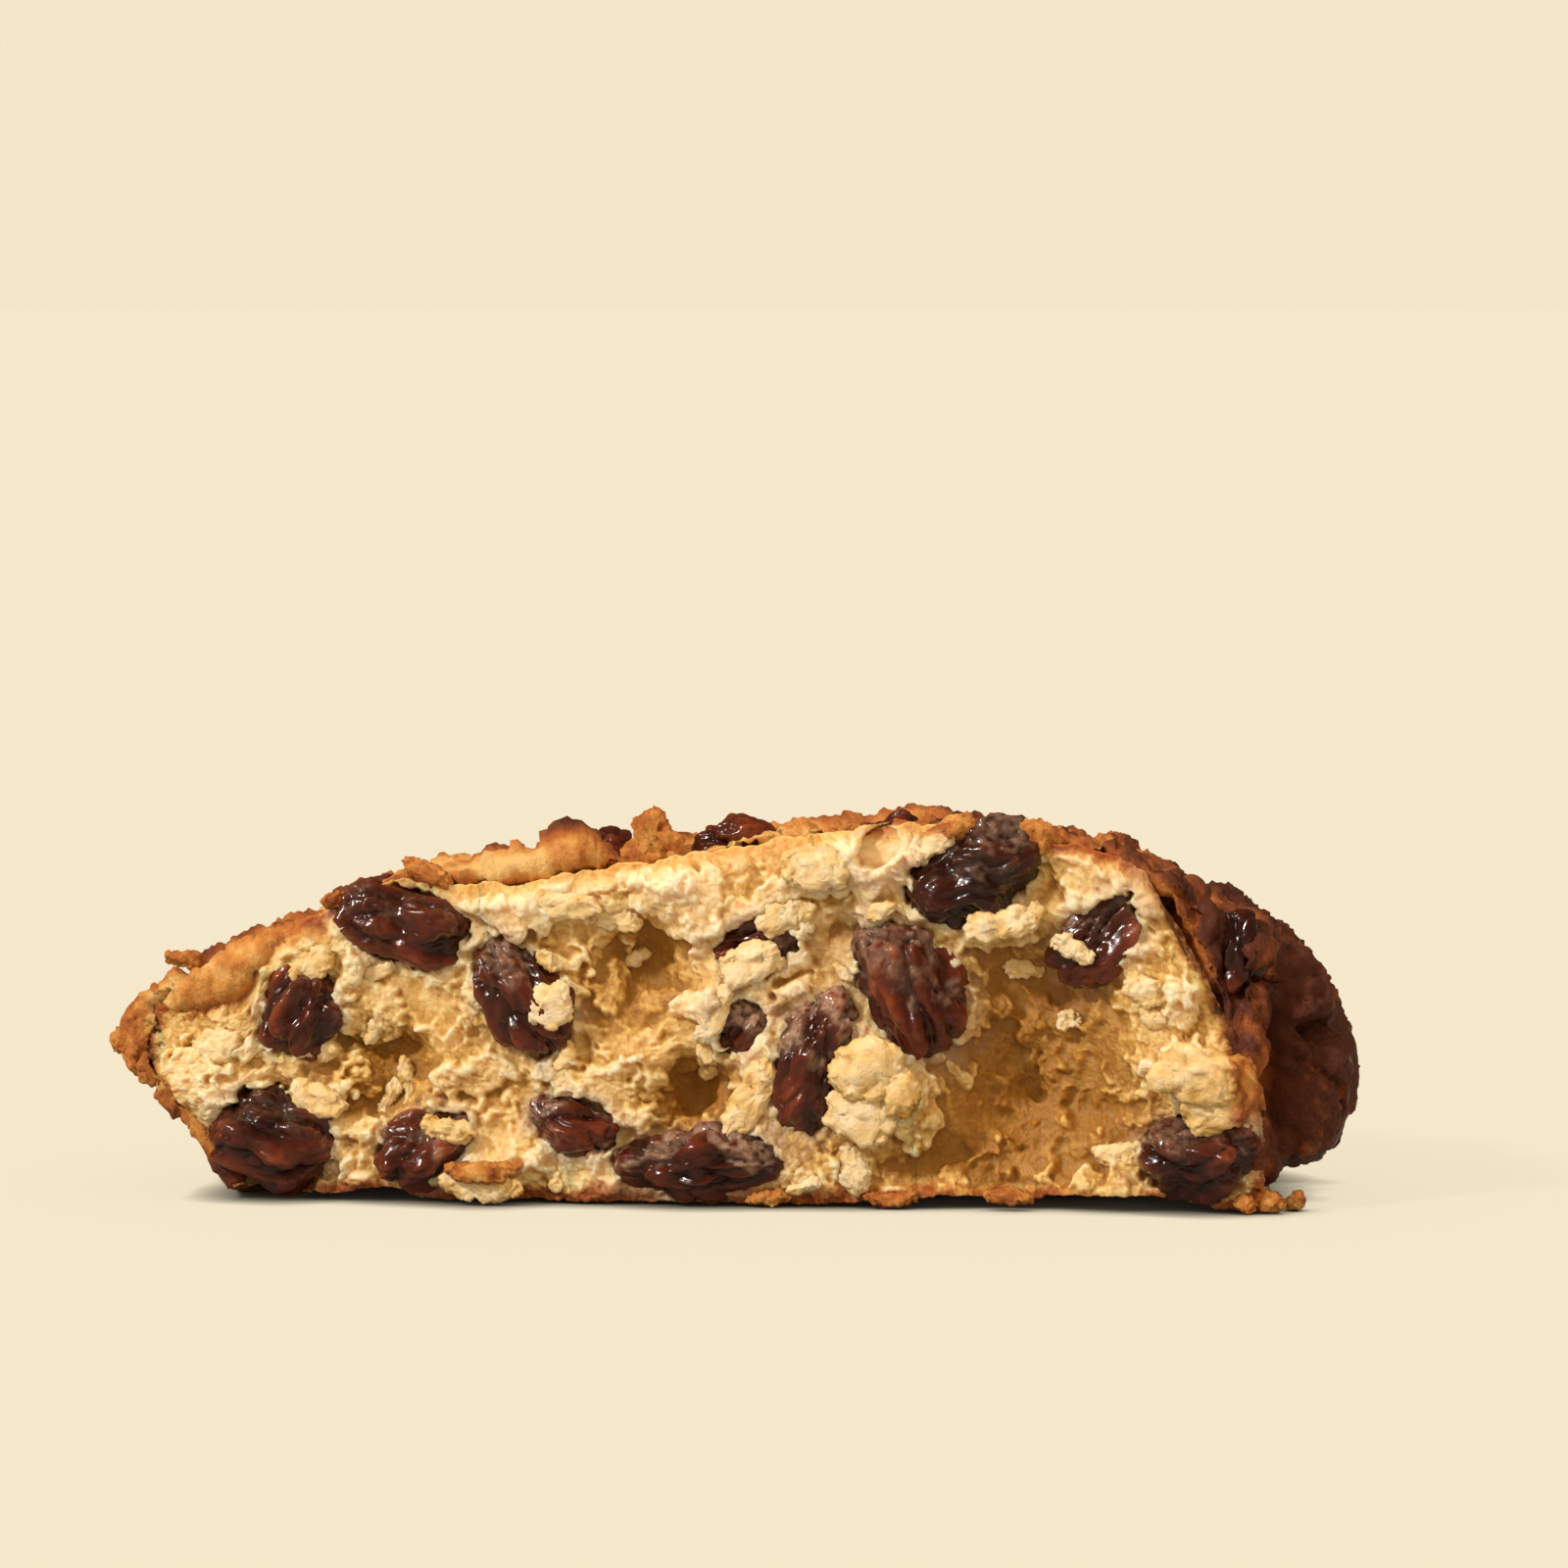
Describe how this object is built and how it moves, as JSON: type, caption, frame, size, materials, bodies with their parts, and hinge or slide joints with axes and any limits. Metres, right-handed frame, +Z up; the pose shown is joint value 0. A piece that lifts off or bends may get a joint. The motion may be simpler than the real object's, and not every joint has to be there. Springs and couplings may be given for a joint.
{
  "type": "oatmeal raisin cookie half",
  "caption": "Half of a thick soft oatmeal raisin cookie, broken across the middle: pale crumb face, browned domed crust, raisins sunk in both.",
  "frame": {"origin": "middle of the bounding box's base, on the surface that the half lies on", "axes": "+X along the broken face to its taller end, -Y out of the broken face, +Z up"},
  "size_m": [0.1108, 0.057, 0.0353],
  "materials": {
    "dough": "baked dough: pale matte crumb on the broken face, golden to brown crust elsewhere",
    "raisin": "moist dark wrinkled raisin skin, semi-gloss"
  },
  "bodies": {
    "root": {"dough": "dough", "raisin_01": "raisin", "raisin_02": "raisin", "raisin_03": "raisin", "raisin_04": "raisin", "raisin_05": "raisin", "raisin_06": "raisin", "raisin_07": "raisin", "raisin_08": "raisin", "raisin_09": "raisin", "raisin_10": "raisin", "raisin_11": "raisin", "raisin_12": "raisin", "raisin_13": "raisin", "raisin_14": "raisin", "raisin_15": "raisin", "raisin_16": "raisin", "raisin_17": "raisin", "raisin_18": "raisin", "raisin_19": "raisin", "raisin_20": "raisin", "raisin_21": "raisin", "raisin_22": "raisin", "raisin_23": "raisin", "raisin_24": "raisin", "raisin_25": "raisin", "raisin_26": "raisin", "raisin_27": "raisin", "raisin_28": "raisin", "raisin_29": "raisin", "raisin_30": "raisin", "raisin_31": "raisin", "raisin_32": "raisin", "raisin_33": "raisin", "raisin_34": "raisin", "raisin_35": "raisin"}
  },
  "joints": []
}
